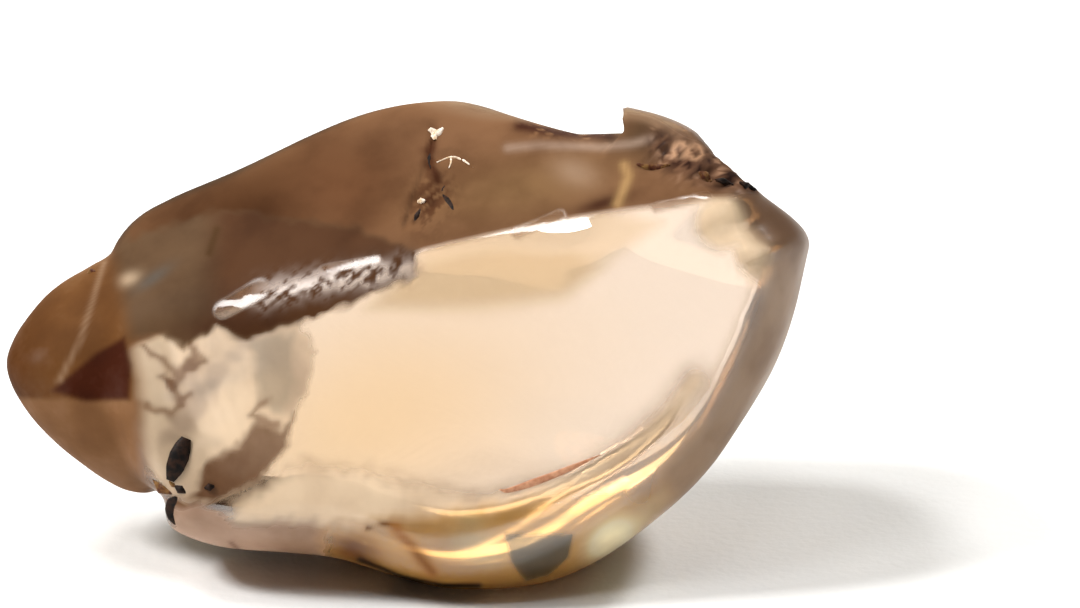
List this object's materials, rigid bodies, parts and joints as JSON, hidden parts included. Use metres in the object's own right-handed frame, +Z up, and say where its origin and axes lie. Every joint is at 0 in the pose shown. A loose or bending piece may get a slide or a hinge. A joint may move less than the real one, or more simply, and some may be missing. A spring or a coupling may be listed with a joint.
{
  "type": "rough diamond",
  "caption": "Rough brown diamond: a flattened, rounded crystal with a pale front face, a sloping top face, a small lobe at one end and a flat base to rest on.",
  "frame": {"origin": "middle of the bottom of the stone's box, at the level of the flat face on which it rests", "axes": "+Z up from the base face, +X along the stone's length towards the thick end, away from the small lobe; the large pale front face looks towards -Y and leans back"},
  "size_m": [0.008, 0.004, 0.0044],
  "materials": {
    "brown_crystal": "clear brown crystal with glassy etched faces, lightly frosted on top"
  },
  "bodies": {
    "root": {"rough_diamond": "brown_crystal"}
  },
  "joints": []
}
